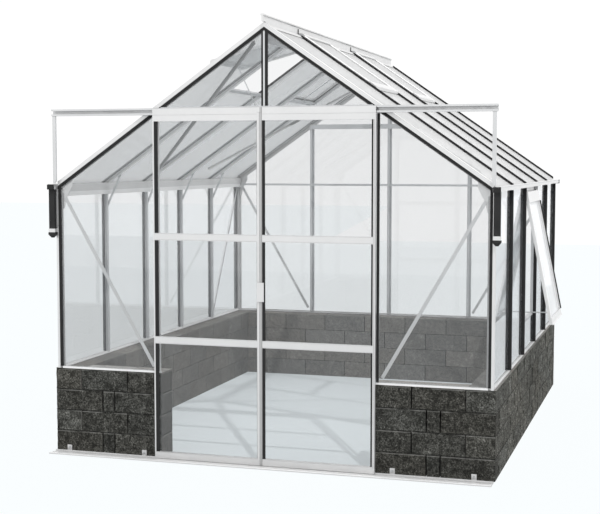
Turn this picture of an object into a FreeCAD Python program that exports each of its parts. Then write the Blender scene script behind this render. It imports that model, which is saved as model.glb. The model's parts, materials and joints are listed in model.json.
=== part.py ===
import FreeCAD, Part
import math
import os

# ---------------------------------------------------------------------------
# Glazed greenhouse on a low block wall: driving dimensions, millimetres.
# Modelling axes: X to the right seen from the door side, Y to the rear,
# Z up, plan centre of the wall at X = Y = 0 while modelling. The finished
# shapes are moved along Y so that the origin is the middle of the door
# threshold's underside, at ground level.
# ---------------------------------------------------------------------------
wall_w = 2960.0          # outer width of the block wall
wall_l = 3540.0          # outer length of the block wall
wall_t = 185.0           # wall thickness
course_h = 140.0         # height of one block course
courses = 4
block_chamfer = 5.0
jamb_x = 712.0           # wall ends beside the doorway

frame_x = 1450.0         # inner plane of the side glass
frame_y = 1756.0         # inner plane of the gable glass
glass_t = 4.0
cap_t = 6.0              # thickness of the rubber glazing strips on the gables
side_cap_t = 20.0        # deep rubber covers on the side bars
roof_cap_t = 14.0        # rubber covers on the roof bars
bar_w, bar_web, bar_d = 24.0, 5.0, 22.0     # side and roof bars: flange, web, depth
cap_w = 26.0             # width of the rubber glazing strips
bar_y = (-1050.0, -350.0, 350.0, 1050.0)   # side and roof bars
gable_x = 725.0          # intermediate gable bars

roof_tan = 0.69243       # roof pitch, about 34.7 degrees
roof_apex = 2796.0       # inner plane of the roof glass at the ridge
sill_top = 572.0
eave_bottom = 1712.0
roof_end = 1464.0        # lower edge of the roof glass, over the gutter

door_half = (742.0, 734.0)       # outer edges of the closed left and right leaf
meet_l, meet_r = 1.5, 0.5        # inner edges of the leaves at the meeting line
door_travel = 690.0
track_half = 1472.0
roller_r = 13.0
axle_r = 4.0
running_gap = 0.05

hinge_s, hinge_n = 16.0, 20.0    # roof vent hinge line in slope coordinates
vent_open_deg = 20.0             # the front left vent stands open
stay_r = 4.0
stay_len = 335.0
stay_engaged_deg = 79.27         # stay of the open vent, swung down to its fork

window_hinge_x, window_hinge_z = 1470.0, 1724.0
window_open_deg = 11.5
window_drop = 30.0               # lower edge of the window below the 826 mm line
window_stay_len = 290.0
window_stay_deg = 79.4           # stay swung inwards from lying along the leaf

threshold_y = 1820.0             # doorway threshold lies this far in front of the plan centre

wall_h = course_h * courses
pitch = math.atan(roof_tan)
ca, sa = math.cos(pitch), math.sin(pitch)
hx, hy = wall_w / 2, wall_l / 2
os.makedirs("parts", exist_ok=True)

V = FreeCAD.Vector
parts = {}


def put(node, *shapes):
    parts.setdefault(node, []).extend(shapes)


def box(x0, x1, y0, y1, z0, z1):
    x0, x1 = min(x0, x1), max(x0, x1)
    y0, y1 = min(y0, y1), max(y0, y1)
    z0, z1 = min(z0, z1), max(z0, z1)
    return Part.makeBox(x1 - x0, y1 - y0, z1 - z0, V(x0, y0, z0))


def prism(pts, vec):
    wire = Part.makePolygon(list(pts) + [pts[0]])
    return Part.Face(wire).extrude(vec)


def along_x(poly, x0, x1):
    """Profile given as (y, z), run along X."""
    return prism([V(x0, y, z) for y, z in poly], V(x1 - x0, 0, 0))


def along_y(poly, y0, y1):
    """Profile given as (x, z), run along Y."""
    return prism([V(x, y0, z) for x, z in poly], V(0, y1 - y0, 0))


def along_z(poly, z0, z1):
    """Profile given as (x, y), run along Z."""
    return prism([V(x, y, z0) for x, y in poly], V(0, 0, z1 - z0))


def sp(sg, s, n, y):
    """Point on a roof slope: s down the slope, n outward from the glass."""
    return V(sg * (s * ca + n * sa), y, roof_apex - s * sa + n * ca)


def along_slope(sg, poly, s0, s1):
    """Profile given as (y, n), run down the slope."""
    return prism([sp(sg, s0, n, y) for y, n in poly],
                 V(sg * ca, 0, -sa) * (s1 - s0))


def across_slope(sg, poly, y0, y1):
    """Profile given as (s, n), run along Y."""
    return prism([sp(sg, s, n, y0) for s, n in poly], V(0, y1 - y0, 0))


def roof_z(x, n=0.0):
    return roof_apex - roof_tan * abs(x) + n / ca


def above_roof(n, y0, y1):
    """Everything above the roof plane shifted by n, both slopes."""
    return along_y([(0, roof_z(0, n)), (1700, roof_z(1700, n)), (1700, 4000),
                    (-1700, 4000), (-1700, roof_z(1700, n))], y0, y1)


def tee(width, web, depth, flange=4.0, bead=14.0, bead_h=6.0):
    """T section with a bead on the web: (lateral, depth) points, depth inward."""
    w, t, b = width / 2, web / 2, bead / 2
    return [(-w, 0), (w, 0), (w, flange), (t, flange), (t, depth - bead_h),
            (b, depth - bead_h), (b, depth), (-b, depth), (-b, depth - bead_h),
            (-t, depth - bead_h), (-t, flange), (-w, flange)]


def strip_profile(thick, width=cap_w, stem=9.0):
    """Rubber glazing strip: a cap over the glass edges and a stem between them.
    Points are (lateral, outward) with 0 at the glass inner plane."""
    w, t = width / 2, stem / 2
    g, c = glass_t, glass_t + thick
    return [(-t, 0), (t, 0), (t, g), (w, g), (w, c - 2.2), (w - 3, c), (-w + 3, c),
            (-w, c - 2.2), (-w, g), (-t, g)]


def flat_bar(p, q, width, thick, normal):
    """Flat bar from p to q, its width square to the normal."""
    d = q - p
    u = d.cross(normal)
    u.normalize()
    nn = V(normal)
    nn.normalize()
    pts = [p - u * (width / 2), p + u * (width / 2),
           p + u * (width / 2) + nn * thick, p - u * (width / 2) + nn * thick]
    return prism(pts, d)


def hex_bolt(p, axis, af=10.0, head=4.5):
    """Hexagon bolt head seated at p, standing out along axis."""
    a = V(axis)
    a.normalize()
    ref = V(0, 0, 1) if abs(a.z) < 0.9 else V(1, 0, 0)
    u = a.cross(ref)
    u.normalize()
    w = a.cross(u)
    r = af / 2 / math.cos(math.pi / 6)
    pts = [p + u * (r * math.cos(i * math.pi / 3)) + w * (r * math.sin(i * math.pi / 3))
           for i in range(6)]
    return prism(pts, a * head)


# ---------------------------------------------------------------------------
# Block wall: four courses, interlocked at the corners, dry joints.
# ---------------------------------------------------------------------------
def block(x0, x1, y0, y1, k):
    z0 = wall_h - (k + 1) * course_h
    b = box(x0, x1, y0, y1, z0, z0 + course_h)
    return b.makeChamfer(block_chamfer, b.Edges)


def run(a, b, n):
    step = (b - a) / n
    return [(a + i * step + 1.0, a + (i + 1) * step - 1.0) for i in range(n)]


for k in range(courses):
    through = k % 2 == 0        # side walls run through to the front on these courses
    for sg in (-1, 1):
        if through:
            cuts = [jamb_x, 957.0, hx - wall_t]
        else:
            cuts = [jamb_x, 1051.0, 1138.0, hx]
        for a, b in zip(cuts, cuts[1:]):
            put("wall_front", block(sg * (a + 1), sg * (b - 1), -hy, -hy + wall_t, k))
        node = "wall_left" if sg < 0 else "wall_right"
        ya = hy if through else hy - wall_t
        for a, b in run(-ya, ya, 10 if through else 9):
            put(node, block(sg * (hx - wall_t), sg * hx, a, b, k))
    xa = hx - wall_t if through else hx
    for a, b in run(-xa, xa, 7 if through else 8):
        put("wall_rear", block(a, b, hy - wall_t, hy, k))

# ---------------------------------------------------------------------------
# Floor track in front of the wall, with its clamps.
# ---------------------------------------------------------------------------
ty0, ty1 = -1895.0, -1772.0
put("floor_track",
    box(-track_half, track_half, ty0, ty1, 0, 2.5),
    along_x([(ty0, 2.5), (ty0 + 10, 2.5), (ty0 + 10, 8), (ty0 + 7, 11), (ty0 + 3, 11), (ty0, 8)],
            -track_half, track_half),
    along_x([(-1846, 2.5), (-1838, 2.5), (-1839, 6), (-1845, 6)], -track_half, track_half),
    box(-track_half, track_half, -1801, -1797, 2.5, 11))
for x in (-1381.0, -836.0, 840.0, 1350.0):
    put("track_clamps", along_x([(-1783, 2.7), (-1770.2, 2.7), (-1770.2, 41), (-1775.5, 41), (-1775.5, 8),
                                 (-1783, 8)], x - 16, x + 16))
    put("frame_bolts", hex_bolt(V(x, -1775.5, 25), V(0, -1, 0), 12, 4.0))

# ---------------------------------------------------------------------------
# Sill profiles on top of the wall. Outward distance is measured from the
# glass inner plane; the lip stands in front of the glass edge.
# ---------------------------------------------------------------------------
sill_prof = [(12, wall_h), (-60, wall_h), (-60, wall_h + 5), (-10, wall_h + 7), (-8, sill_top), (-0.5, sill_top),
             (-0.5, wall_h + 7), (4.5, wall_h + 7), (4.5, sill_top), (12, sill_top)]
sill_side = [(12, wall_h), (-26, wall_h), (-26, wall_h + 5), (-10, wall_h + 7), (-8, sill_top), (-0.5, sill_top),
             (-0.5, wall_h + 7), (4.5, wall_h + 7), (4.5, sill_top), (12, sill_top)]
sill_front = [(12, wall_h), (0.3, wall_h), (0.3, wall_h + 7), (4.5, wall_h + 7), (4.5, sill_top), (12, sill_top)]
post_x0 = 1430.0
post_y0 = 1730.0
for sg in (-1, 1):
    put("wall_sills",
        along_x([(-(frame_y + o), z) for o, z in sill_prof], sg * 746.5, sg * (post_x0 - 2)).cut(
            box(sg * 1423.6, sg * 1480, -1728.3, 0, 500, 600)),
        along_x([(-(frame_y + o), z) for o, z in sill_front], sg * (jamb_x + 2), sg * 746.3),
        along_y([(sg * (frame_x + o), z) for o, z in sill_side], -(post_y0 - 2), post_y0 - 2))
rear_sill = along_x([(frame_y + o, z) for o, z in sill_prof], -(post_x0 - 2), post_x0 - 2)
for sg in (-1, 1):          # the side sills run past its ends
    rear_sill = rear_sill.cut(box(sg * 1423.6, sg * 1480, 0, 1728.3, 500, 600))
put("wall_sills", rear_sill)

# ---------------------------------------------------------------------------
# Posts: corner posts and door posts.
# ---------------------------------------------------------------------------
for sg in (-1, 1):
    for fy in (-1, 1):
        # core under the rafter, stepped for the pane's edge and the rubber strip
        core = along_z([(sg * 1430, fy * 1755.8), (sg * 1440, fy * 1755.8), (sg * 1440, fy * 1760),
                        (sg * 1449.5, fy * 1760), (sg * 1449.5, fy * post_y0), (sg * 1430, fy * post_y0)],
                       wall_h, 1900).cut(above_roof(-34, -2000, 2000))
        # outer corner, up to the gutter
        nose = along_z([(sg * 1446.3, fy * 1760), (sg * 1446.3, fy * 1768), (sg * 1462, fy * 1768),
                        (sg * 1462, fy * post_y0), (sg * 1449.5, fy * post_y0), (sg * 1449.5, fy * 1760)],
                       wall_h, 1757)
        # flange behind the pane
        flange = box(sg * 1416, sg * 1430, fy * 1755.8, fy * 1751, sill_top + 0.2, 1733)
        # head in the rafter's plane
        head = box(sg * 1430, sg * 1449.4, fy * 1760, fy * 1756.3, 1761.5, 1900).cut(
            above_roof(-10.3, -2000, 2000))
        put("gable_posts", core.fuse(nose).fuse(flange).fuse(head).removeSplitter())
    # door posts stand on the wall
    dp = along_z([(sg * 728, -frame_y), (sg * 746, -frame_y), (sg * 746, -1747),
                  (sg * 736, -1747), (sg * 736, -1726), (sg * 731, -1726), (sg * 731, -1747),
                  (sg * 728, -1747)], wall_h, 2500)
    put("gable_posts", dp.cut(above_roof(-34, -2000, 2000)))

# ---------------------------------------------------------------------------
# Side bars, eave beams, gutters and rainwater fittings.
# ---------------------------------------------------------------------------
side_tee = tee(bar_w, bar_web, bar_d, bead=10.0, bead_h=5.0)
for sg in (-1, 1):
    for y in bar_y:
        put("side_bars", along_z([(sg * (frame_x - d), y + u) for u, d in side_tee],
                                 sill_top, eave_bottom))
    put("eave_beams", along_y([(sg * 1410, eave_bottom), (sg * 1450, eave_bottom),
                               (sg * 1450, roof_z(1450, -bar_d)), (sg * 1410, roof_z(1410, -bar_d))],
                              -1729, 1729))
    gy0, gy1 = -1814.0, 1790.0
    put("gutters",
        box(sg * 1450, sg * 1453, gy0, gy1, 1758, 1783),
        box(sg * 1453, sg * 1490, gy0, gy1, 1763, 1766),
        along_y([(sg * 1490, 1763), (sg * 1494, 1763), (sg * 1494, 1786), (sg * 1496, 1789),
                 (sg * 1494, 1794), (sg * 1488, 1794), (sg * 1486, 1790), (sg * 1490, 1787)],
                gy0, gy1))
    for ya, yb in ((gy0 - 8, gy0), (gy1, gy1 + 8)):
        put("rainwater_fittings", box(sg * 1452, sg * 1499, ya, yb, 1757, 1790))
    # downpipe in front of the corner post: pipe, clip band and tapered outlet
    px0, px1, py0, py1 = 1455.0, 1496.0, -1804.0, -1778.0
    pipe = box(sg * px0, sg * px1, py0, py1, 1472, 1762.7)
    bore = box(sg * (px0 + 2.5), sg * (px1 - 2.5), py0 + 2.5, py1 - 2.5, 1472, 1755)
    put("rainwater_fittings", pipe.cut(bore))
    band = box(sg * (px0 - 2.4), sg * (px1 + 2.4), py0 - 2.4, py1 + 3, 1473, 1497)
    foot = box(sg * (px0 - 2.4), sg * 1462, py1 + 3, -1768, 1473, 1497)
    put("downpipe_clips", band.fuse(foot).removeSplitter().cut(
        box(sg * px0, sg * px1, py0, py1, 1472, 1498)))
    cxp, cyp = sg * (px0 + px1) / 2, (py0 + py1) / 2
    rings = []
    for z, a, b in ((1471.8, 25.0, 17.5), (1458.0, 25.0, 17.5), (1437.0, 8.0, 6.0)):
        rings.append(Part.makePolygon([V(cxp - a, cyp - b, z), V(cxp + a, cyp - b, z),
                                       V(cxp + a, cyp + b, z), V(cxp - a, cyp + b, z),
                                       V(cxp - a, cyp - b, z)]))
    tip = Part.makeLoft(rings, True, True)
    put("rainwater_fittings", tip.cut(box(cxp - 3.5, cxp + 3.5, cyp - 3.5, cyp + 3.5, 1437, 1471.8)))

# ---------------------------------------------------------------------------
# Gable bars and transoms.
# ---------------------------------------------------------------------------
gab_tee = tee(40, 8, 34)
centre = along_z([(u, -frame_y + d) for u, d in gab_tee], 2290, 2800)
nose = box(-5.5, 5.5, -frame_y - 9, -frame_y, 2290, 2800)
beam_end = box(-15.2, 15.2, -1747.7, 1747.7, 2689.8, 2900)     # room for the ridge beam
put("gable_bars", centre.fuse(nose).removeSplitter().cut(above_roof(-34, -frame_y, 0)).cut(
    above_roof(-30, -2000, -frame_y)).cut(beam_end))
for x in (-gable_x, 0.0, gable_x):
    b = along_z([(x + u, frame_y - d) for u, d in gab_tee], sill_top, 2800)
    put("gable_bars", b.cut(above_roof(-34, 0, 2000)).cut(beam_end))
head = box(-704, 704, -1766, -1726, 2236, 2290)
for sg in (-1, 1):          # its ends reach the door posts
    head = head.fuse(box(sg * 700, sg * 727.8, -1755.8, -1728, 2238, 2290))
put("transoms", head.removeSplitter().cut(above_roof(-34.2, -1756.2, 0)))
# rear transoms stand inside the gable bars; pieces between the corner posts and bars
for z0, z1, lim in ((1726, 1744, 1408.0), (2238, 2281, 735.0)):
    put("transoms", box(-lim, lim, frame_y - 44, frame_y - 34, z0, z1))
# transom under the side window
put("transoms", box(1424, 1450, -337.6, 337.6, 802 - window_drop, 826 - window_drop))

# ---------------------------------------------------------------------------
# Rafters on the gables, roof bars, ridge.
# ---------------------------------------------------------------------------
raf = [(0, 14), (60, 14), (60, 8), (18, 8), (18, 0), (60, 0), (60, -4), (18, -4),
       (18, -34), (10, -34), (10, -10), (0, -10)]
raf_rear = [(0, 3.8), (18, 3.8), (18, 0), (60, 0), (60, -4), (18, -4),
            (18, -34), (10, -34), (10, -10), (0, -10)]
for sg in (-1, 1):
    half = box(0, sg * 1449.5, -3000, 3000, 0, 5000)
    beam = box(sg * 15, sg * 1449.5, -3000, 3000, 0, 5000)
    for fy in (-1, 1):
        r = along_slope(sg, [(fy * (1766 - d), n) for d, n in (raf if fy < 0 else raf_rear)], -60, 1900)
        r = r.common(half).cut(box(-15, 15, -1748, 1748, 2600, 2778))
        put("rafters", r.cut(box(-5, 5, -1748, 1748, 2600, 2900)))
    for y in bar_y:
        b = along_slope(sg, [(y + u, -d) for u, d in side_tee], -60, 1900)
        put("roof_bars", b.common(beam))
put("ridge_beam", along_y([(-15, 2690), (15, 2690), (15, 2774), (11, 2778), (-11, 2778),
                           (-15, 2774)], -1747.5, 1747.5))
put("ridge_capping", along_y([(-5, 2778), (5, 2778), (5, 2846), (12, 2852), (12, 2858), (8, 2862),
                              (-8, 2862), (-12, 2858), (-12, 2852), (-5, 2846)], -1747.5, 1747.5))
# its ends stand out over the gable apexes
for ya, yb in ((-1800, -1747.8), (1747.8, 1762)):
    put("ridge_capping", along_y([(-5, 2815), (5, 2815), (5, 2846), (12, 2852), (12, 2858),
                                  (8, 2862), (-8, 2862), (-12, 2858), (-12, 2852), (-5, 2846)],
                                 ya, yb))
# flashing over the glass heads in the bays without a vent
fixed_bays = ((-1704.0, -1066.0), (-334.0, 334.0), (1066.0, 1700.0))
for sg in (-1, 1):
    for y0, y1 in fixed_bays:
        put("ridge_capping", across_slope(sg, [(13, 9.0), (44, 6.0), (44, 8.0), (13, 12.5)],
                                          y0, y1))

# ---------------------------------------------------------------------------
# Glass: fixed panes.
# ---------------------------------------------------------------------------
ge = 6.0                 # pane edge to bar centre
g0, g1 = frame_y, frame_y + glass_t
for sg in (-1, 1):
    # front gable beside the doors, and the triangles over them
    z_top = lambda x: roof_z(x, -12)
    pane = [(732, wall_h + 10), (1438, wall_h + 10), (1438, 1760.5), (1428, 1760.5),
            (1428, z_top(1428)), (732, z_top(732))]
    put("gable_glass", along_y([(sg * x, z) for x, z in pane], -g1, -g0))
    tri = [(ge, 2290.5), (700, 2290.5), (700, z_top(700)), (ge, z_top(ge))]
    put("gable_glass", along_y([(sg * x, z) for x, z in tri], -g1, -g0))
    # rear gable
    outer = [(gable_x + ge, wall_h + 10), (1438, wall_h + 10), (1438, 1760.5), (1428, 1760.5),
             (1428, z_top(1428)), (gable_x + ge, z_top(gable_x + ge))]
    put("gable_glass", along_y([(sg * x, z) for x, z in outer], g0, g1))
    inner = [(ge, wall_h + 10), (gable_x - ge, wall_h + 10), (gable_x - ge, z_top(gable_x - ge)),
             (ge, z_top(ge))]
    put("gable_glass", along_y([(sg * x, z) for x, z in inner], g0, g1))
    # side walls; the right wall's middle bay holds the window above a low pane
    edges = (-1728.0,) + bar_y + (1728.0,)
    for i in range(5):
        a = edges[i] + (ge if i else 0)
        b = edges[i + 1] - (ge if i < 4 else 0)
        top = 815.0 - window_drop if (sg > 0 and i == 2) else 1757.0
        put("side_glass", box(sg * frame_x, sg * (frame_x + glass_t), a, b, wall_h + 10, top))
    # roof; bays two and four are glazed below their vents only
    redge = (-1742.0,) + bar_y + (1742.0,)
    for i in range(5):
        a = redge[i] + (ge if i else 0)
        b = redge[i + 1] - (ge if i < 4 else 0)
        s0 = 612.0 if i in (1, 3) else 24.0
        s1 = roof_end / ca
        put("roof_glass", across_slope(sg, [(s0, 0), (s1, 0), (s1, glass_t), (s0, glass_t)], a, b))

# ---------------------------------------------------------------------------
# Rubber glazing strips.
# ---------------------------------------------------------------------------
gable_prof = strip_profile(cap_t)
side_prof = strip_profile(side_cap_t)
roof_prof = strip_profile(roof_cap_t, 22.0)
go, gc = glass_t, glass_t + cap_t


def side_cap(u0, u1, thick=cap_t):
    """Strip lying on one glass edge only: (lateral, outward)."""
    c = glass_t + thick
    return [(u0, go), (u1, go), (u1, c - 1.5), (u1 - 1.5, c), (u0 + 1.5, c), (u0, c - 1.5)]


for sg in (-1, 1):
    for y in bar_y:
        s = along_z([(sg * (frame_x + o), y + u) for u, o in side_prof], sill_top + 0.5, 1757)
        if sg > 0 and abs(y) < 400:          # room for the window's hinge rod and bracket
            fy = 1 if y > 0 else -1
            s = s.cut(box(1452.8, 1500, fy * 330, fy * 347, 1714, 1765))
        put("side_seals", s)
        put("roof_seals", along_slope(sg, [(y + u, o) for u, o in roof_prof], 24, roof_end / ca))
        if y in (bar_y[0], bar_y[2]):        # end stop beside a vent, up against the capping
            put("roof_seals", box(sg * 5.2, sg * 9.5, y - 10.5, y - 4.5, roof_apex + 5, roof_apex + 42))
    # rear corner: strips on the side and roof faces; all gable edges: on the gable face
    put("side_seals", along_z([(sg * (frame_x + o), u) for u, o in side_cap(1702, 1728, side_cap_t)],
                              sill_top + 0.5, 1757))
    put("roof_seals", along_slope(sg, [(u, o) for u, o in side_cap(1741, 1765, roof_cap_t)],
                                  24, roof_end / ca).common(box(0, sg * 1449, -3000, 3000, 0, 5000)))
    for fy in (-1, 1):
        s = along_z([(sg * u, fy * (frame_y + o)) for u, o in side_cap(1428.2, 1446.0)],
                    sill_top + 0.5, 1800)
        put("gable_seals", s.cut(above_roof(-29.3, -2000, 2000)))
        # under the rafters
        band = [(0.1, roof_z(0.1, -29)), (0.1, roof_z(0.1, -11)), (1449.4, roof_z(1449.4, -11)),
                (1449.4, roof_z(1449.4, -29))]
        s = along_y([(sg * x, z) for x, z in band], fy * (frame_y + go), fy * (frame_y + gc - 0.5))
        if fy < 0:
            s = s.cut(box(-704.5, 704.5, -2000, 0, 0, 2290.3))
        else:
            s = s.cut(box(-20, 20, 0, 2000, 0, 5000))
        put("gable_seals", s)
    # beside the doors
    put("gable_seals", along_z([(sg * u, -(frame_y + o)) for u, o in side_cap(731, 747.5)],
                               sill_top + 0.5, 2232))
    # front centre bar, one strip each side of its nose
    s = along_z([(sg * u, -(frame_y + o)) for u, o in side_cap(5.8, 18.0 if sg < 0 else 25.0)], 2292, 2790)
    put("gable_seals", s.cut(above_roof(-29.3, -2000, 2000)))
for x in (-gable_x, 0.0, gable_x):
    s = along_z([(x + u, frame_y + o) for u, o in gable_prof], sill_top + 0.5, 2790)
    cut_n = -11 if x == 0 else -30
    put("gable_seals", s.cut(above_roof(cut_n, 0, 2000)))

# ---------------------------------------------------------------------------
# Bracing, gussets.
# ---------------------------------------------------------------------------
for sg in (-1, 1):
    for fy in (-1, 1):
        xin = 768.0 if fy < 0 else 762.0
        p, q = V(sg * 1398, fy * 1754, 1700), V(sg * xin, fy * 1754, 600)
        put("wind_braces", flat_bar(p, q, 22, 4, V(0, -fy, 0)))
        gp = fy * 1747.8
        put("gusset_plates", prism([V(sg * 1428, gp, 1630), V(sg * 1428, gp, 1778),
                                    V(sg * 1352, gp, 1830), V(sg * 1352, gp, 1780),
                                    V(sg * 1398, gp, 1690), V(sg * 1410, gp, 1630)], V(0, -fy * 3.5, 0)))
        for bx, bz in ((1416, 1690), (1416, 1752), (1368, 1784)):
            put("frame_bolts", hex_bolt(V(sg * bx, fy * 1744.3, bz), V(0, -fy, 0)))
        put("frame_bolts", hex_bolt(V(sg * (xin + 10), fy * 1750, 618), V(0, -fy, 0)))
    # last bay of each side wall
    put("wind_braces", flat_bar(V(sg * 1446, 1716, 1700), V(sg * 1446, 1080, 612), 22, 4,
                                V(-sg, 0, 0)))
    # roof diagonals under the bars
    for fy in (-1, 1):
        p, q = sp(sg, 130, -bar_d, fy * 1690), sp(sg, 1560, -bar_d, fy * 520)
        inward = V(-sg * sa, 0, -ca)
        put("wind_braces", flat_bar(p, q, 24, 4, inward).fuse(flat_bar(p, q, 4, 22, inward)).removeSplitter())
    # knee braces from each side bar to its roof bar
    for y in bar_y:
        p = V(sg * 1434, y + 5.2, 1630)
        q = V(sg * 1330, y + 5.2, 1856)
        put("knee_braces", flat_bar(p, q, 16, 3.5, V(0, 1, 0)))
        put("frame_bolts", hex_bolt(V(sg * 1429.8, y + 8.7, 1639), V(0, 1, 0)),
            hex_bolt(V(sg * 1334.2, y + 8.7, 1847), V(0, 1, 0)))

# ---------------------------------------------------------------------------
# Roof vent sills, hinges and stay forks.
# ---------------------------------------------------------------------------
vent_bays = ((-1050.0, -350.0), (350.0, 1050.0))
for sg in (-1, 1):
    for y0, y1 in vent_bays:
        put("vent_sills", across_slope(sg, [(604, 0), (642, 0), (642, -5), (622, -5), (622, -16),
                                            (604, -16)], y0 + 12.3, y1 - 12.3))
        ax = sp(sg, hinge_s, hinge_n, 0)
        # lugs on the capping carry the hinge rod's ends
        for ya, yb in ((y0 + 13.6, y0 + 19.6), (y1 - 19.6, y1 - 13.6)):
            put("vent_hinges", along_y([(sg * 5, ax.z - 12), (sg * 5, ax.z + 10),
                                        (sg * 33, ax.z + 6), (sg * 33, ax.z - 8)], ya, yb))
        put("vent_hinges", Part.makeCylinder(4.0, (y1 - 19.6) - (y0 + 19.6),
                                             V(ax.x, y0 + 19.6, ax.z), V(0, 1, 0)))
        ym = (y0 + y1) / 2
        put("stay_forks",
            across_slope(sg, [(596, -36), (604, -36), (604, -4), (596, -4)], ym - 12, ym + 12),
            across_slope(sg, [(582, -36), (596, -36), (596, -20), (582, -20)], ym - 12, ym - 7),
            across_slope(sg, [(582, -36), (596, -36), (596, -20), (582, -20)], ym + 7, ym + 12))
# fork on the window transom
wd = window_drop
put("stay_forks", box(1392, 1424, -12, 12, 806 - wd, 818 - wd),
    box(1392, 1412, -12, -7, 818 - wd, 868 - wd), box(1392, 1412, 7, 12, 818 - wd, 868 - wd))

# ---------------------------------------------------------------------------
# Top door track: a channel open to the front, and its end struts.
# ---------------------------------------------------------------------------
tz0, tz1 = 2240.0, 2284.0
tx = track_half
put("top_track",
    box(-tx, tx, -1772, -1766, tz0, tz1),
    box(-tx, tx, -1800, -1772, tz0, tz0 + 6),
    box(-tx, tx, -1800, -1797, tz0 + 6, tz0 + 12),
    box(-tx, tx, -1800, -1772, tz1 - 6, tz1),
    box(-tx, tx, -1800, -1797, tz1 - 12, tz1 - 6))
for sg in (-1, 1):
    u = along_z([(sg * 1442, -1797), (sg * 1466, -1797), (sg * 1466, -1786), (sg * 1462, -1786),
                 (sg * 1462, -1793), (sg * 1446, -1793), (sg * 1446, -1786), (sg * 1442, -1786)], 1797, tz0)
    # lower end cut to a taper
    put("track_struts", u.cut(along_y([(sg * 1441, 1796), (sg * 1449, 1796), (sg * 1441, 1828)], -1800, -1780)))

# ---------------------------------------------------------------------------
# Doors: two leaves hung from rollers in the top track.
# ---------------------------------------------------------------------------
dy0, dy1 = -1812.0, -1786.0          # front and back of a leaf
roller_z = tz0 + 6 + roller_r + 0.3
rail_rows = ((762.0, 808.0), (1435.0, 1481.0))
bot0, bot1 = 4.0, 48.0
top0 = 2199.0
stile_top = 2249.0


def grooved(z0, z1, grooves, back=dy1):
    """Rail section (y, z) with fine horizontal grooves on its front face."""
    pts = [(dy0, z0)]
    for g in grooves:
        pts += [(dy0, g - 1.2), (dy0 + 1.0, g - 0.8), (dy0 + 1.0, g + 0.8), (dy0, g + 1.2)]
    pts += [(dy0, z1), (back, z1), (back, z0)]
    return pts


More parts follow.
